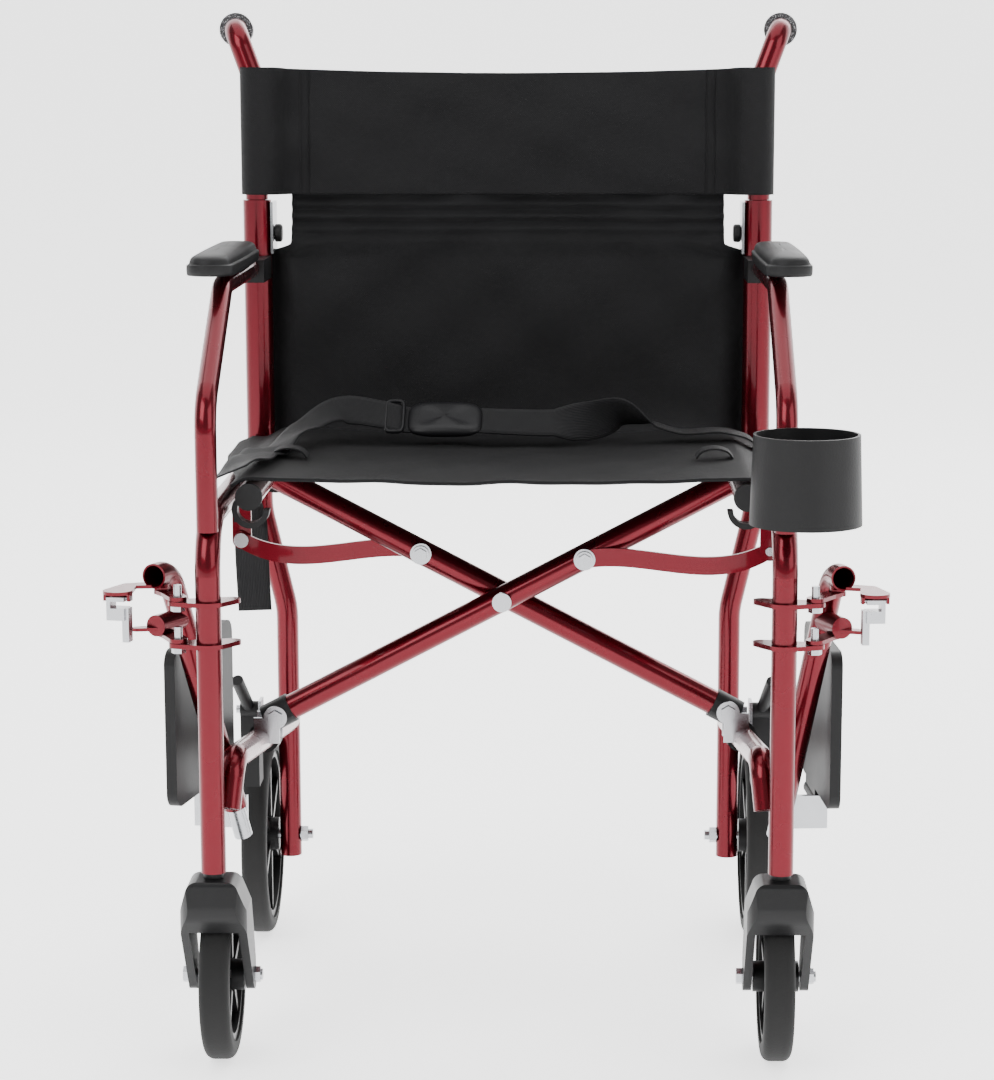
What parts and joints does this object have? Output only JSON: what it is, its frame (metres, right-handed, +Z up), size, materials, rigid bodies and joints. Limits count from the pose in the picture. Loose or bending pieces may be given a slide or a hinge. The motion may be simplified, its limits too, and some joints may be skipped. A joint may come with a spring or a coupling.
{
  "type": "transport wheelchair",
  "caption": "Folding transport wheelchair: tubular side frames on a cross brace, four small wheels, sling seat, fold-down back, swing-away footrests, lap belt and cup holder.",
  "frame": {"origin": "on the floor, under the middle of the whole chair's bounding box", "axes": "+X towards the cup-holder side, +Y to the rear, +Z up"},
  "size_m": [0.6807, 0.6846, 0.9375],
  "materials": {
    "frame_red": "metallic gloss",
    "plated": "bright",
    "black_plastic": "matt",
    "grip_grey": "matt",
    "pad_black": "fine grain",
    "nylon": "woven",
    "webbing": "ribbed",
    "tyre": "matt",
    "hub_black": "satin"
  },
  "bodies": {
    "left_frame": {"left_front_post": "frame_red", "left_cane": "frame_red", "left_arm_tube": "frame_red", "left_arm_pad": "pad_black", "left_arm_clamp": "black_plastic", "left_lower_rail": "frame_red", "left_seat_saddles": "black_plastic", "left_frame_tabs": "frame_red", "left_frame_hardware": "plated", "back_lower_panel": "nylon"},
    "left_brace": {"brace_from_left": "frame_red", "brace_caps_left": "black_plastic", "seat_sling": "nylon", "lap_belt": "webbing"},
    "left_link_arm": {"left_link": "frame_red"},
    "left_back": {"left_upper_cane": "frame_red", "left_grip": "grip_grey", "back_upper_panel": "nylon"},
    "left_knob": {"left_release_knob": "black_plastic"},
    "left_caster_swivel": {"left_caster_fork": "hub_black", "left_caster_axle": "plated"},
    "left_caster_wheel": {"left_caster_tyre": "tyre", "left_caster_hub": "hub_black"},
    "left_rear_wheel": {"left_rear_tyre": "tyre", "left_rear_hub": "hub_black"},
    "left_lock_lever": {"left_wheel_lock": "black_plastic"},
    "left_footrest": {"left_hanger": "frame_red", "left_footrest_extension": "plated"},
    "left_latch_lever": {"left_latch": "plated"},
    "left_footplate_body": {"left_footplate": "black_plastic"},
    "right_frame": {"right_front_post": "frame_red", "right_cane": "frame_red", "right_arm_tube": "frame_red", "right_arm_pad": "pad_black", "right_arm_clamp": "black_plastic", "right_lower_rail": "frame_red", "right_seat_saddles": "black_plastic", "right_frame_tabs": "frame_red", "right_frame_hardware": "plated", "cup_holder": "black_plastic"},
    "right_brace": {"brace_from_right": "frame_red", "brace_caps_right": "black_plastic", "brace_pivot_bolt": "plated", "left_link_bolt": "plated"},
    "right_link_arm": {"right_link": "frame_red", "right_link_bolt": "plated"},
    "right_back": {"right_upper_cane": "frame_red", "right_grip": "grip_grey"},
    "right_knob": {"right_release_knob": "black_plastic"},
    "right_caster_swivel": {"right_caster_fork": "hub_black", "right_caster_axle": "plated"},
    "right_caster_wheel": {"right_caster_tyre": "tyre", "right_caster_hub": "hub_black"},
    "right_rear_wheel": {"right_rear_tyre": "tyre", "right_rear_hub": "hub_black"},
    "right_lock_lever": {"right_wheel_lock": "black_plastic"},
    "right_footrest": {"right_hanger": "frame_red", "right_footrest_extension": "plated"},
    "right_latch_lever": {"right_latch": "plated"},
    "right_footplate_body": {"right_footplate": "black_plastic"}
  },
  "joints": [
    {"name": "fold", "type": "hinge", "parent": "left_frame", "child": "left_brace", "pos_m": [-0.214, -0.02078, 0.281], "axis": [0, -1, 0], "range_deg": [0, 47], "deforming": ["seat_sling", "lap_belt", "back_upper_panel", "back_lower_panel"]},
    {"name": "brace_cross", "type": "hinge", "parent": "left_brace", "child": "right_brace", "pos_m": [0, -0.00778, 0.39293], "axis": [0, -1, 0], "range_deg": [-94, 0]},
    {"name": "right_frame_pivot", "type": "hinge", "parent": "right_brace", "child": "right_frame", "pos_m": [0.214, 0.00522, 0.281], "axis": [0, -1, 0], "range_deg": [0, 47]},
    {"name": "left_link_pivot", "type": "hinge", "parent": "left_frame", "child": "left_link_arm", "pos_m": [-0.249, 0.02022, 0.442], "axis": [0, -1, 0], "range_deg": [0, 66.61]},
    {"name": "right_link_pivot", "type": "hinge", "parent": "right_frame", "child": "right_link_arm", "pos_m": [0.249, -0.03578, 0.442], "axis": [0, 1, 0], "range_deg": [0, 66.61]},
    {"name": "left_back_fold", "type": "hinge", "parent": "left_frame", "child": "left_back", "pos_m": [-0.25, 0.23922, 0.733], "axis": [-1, 0, 0], "range_deg": [0, 130]},
    {"name": "left_knob_push", "type": "slide", "parent": "left_frame", "child": "left_knob", "axis": [1, 0, 0], "range_m": [0, 0.005], "stiffness_N_per_m": 400, "springref_m": -0.002},
    {"name": "left_caster_swivel_joint", "type": "hinge", "parent": "left_frame", "child": "left_caster_swivel", "pos_m": [-0.25, -0.23278, 0.186], "axis": [0, 0, 1], "continuous": true},
    {"name": "left_caster_spin", "type": "hinge", "parent": "left_caster_swivel", "child": "left_caster_wheel", "pos_m": [-0.25, -0.18278, 0.0762], "axis": [1, 0, 0], "continuous": true},
    {"name": "left_rear_spin", "type": "hinge", "parent": "left_frame", "child": "left_rear_wheel", "pos_m": [-0.2545, 0.21722, 0.1016], "axis": [1, 0, 0], "continuous": true},
    {"name": "left_lock_turn", "type": "hinge", "parent": "left_frame", "child": "left_lock_lever", "pos_m": [-0.252, 0.08922, 0.262], "axis": [1, 0, 0], "range_deg": [0, 3.6]},
    {"name": "left_footrest_swing", "type": "hinge", "parent": "left_frame", "child": "left_footrest", "pos_m": [-0.2765, -0.23278, 0.427], "axis": [0, 0, -1], "range_deg": [-191, 0]},
    {"name": "left_latch_lift", "type": "hinge", "parent": "left_footrest", "child": "left_latch_lever", "pos_m": [-0.32776, -0.23708, 0.4325], "axis": [0.9816, -0.1908, 0], "range_deg": [0, 14], "stiffness_Nm_per_rad": 1, "springref_deg": -5.73},
    {"name": "left_footplate_fold", "type": "hinge", "parent": "left_footrest", "child": "left_footplate_body", "pos_m": [-0.27237, -0.05429, 0.214], "axis": [-0.1908, -0.9816, 0], "range_deg": [0, 90]},
    {"name": "right_back_fold", "type": "hinge", "parent": "right_frame", "child": "right_back", "pos_m": [0.25, 0.23922, 0.733], "axis": [-1, 0, 0], "range_deg": [0, 130]},
    {"name": "right_knob_push", "type": "slide", "parent": "right_frame", "child": "right_knob", "axis": [-1, 0, 0], "range_m": [0, 0.005], "stiffness_N_per_m": 400, "springref_m": -0.002},
    {"name": "right_caster_swivel_joint", "type": "hinge", "parent": "right_frame", "child": "right_caster_swivel", "pos_m": [0.25, -0.23278, 0.186], "axis": [0, 0, 1], "continuous": true},
    {"name": "right_caster_spin", "type": "hinge", "parent": "right_caster_swivel", "child": "right_caster_wheel", "pos_m": [0.25, -0.18278, 0.0762], "axis": [1, 0, 0], "continuous": true},
    {"name": "right_rear_spin", "type": "hinge", "parent": "right_frame", "child": "right_rear_wheel", "pos_m": [0.2545, 0.21722, 0.1016], "axis": [1, 0, 0], "continuous": true},
    {"name": "right_lock_turn", "type": "hinge", "parent": "right_frame", "child": "right_lock_lever", "pos_m": [0.252, 0.08922, 0.262], "axis": [1, 0, 0], "range_deg": [0, 3.6]},
    {"name": "right_footrest_swing", "type": "hinge", "parent": "right_frame", "child": "right_footrest", "pos_m": [0.2765, -0.23278, 0.427], "axis": [0, 0, 1], "range_deg": [-184, 0]},
    {"name": "right_latch_lift", "type": "hinge", "parent": "right_footrest", "child": "right_latch_lever", "pos_m": [0.32686, -0.24329, 0.4325], "axis": [0.9976, 0.0698, 0], "range_deg": [0, 14], "stiffness_Nm_per_rad": 1, "springref_deg": -5.73},
    {"name": "right_footplate_fold", "type": "hinge", "parent": "right_footrest", "child": "right_footplate_body", "pos_m": [0.29415, -0.05511, 0.214], "axis": [-0.0698, 0.9976, 0], "range_deg": [0, 90]}
  ],
  "couplings": [
    {"joint": "brace_cross", "follows": "fold", "ratio": -2},
    {"joint": "right_frame_pivot", "follows": "fold", "ratio": 1},
    {"joint": "left_link_pivot", "follows": "fold", "ratio": 1.413},
    {"joint": "right_link_pivot", "follows": "fold", "ratio": 1.413},
    {"joint": "right_back_fold", "follows": "left_back_fold", "ratio": 1}
  ]
}
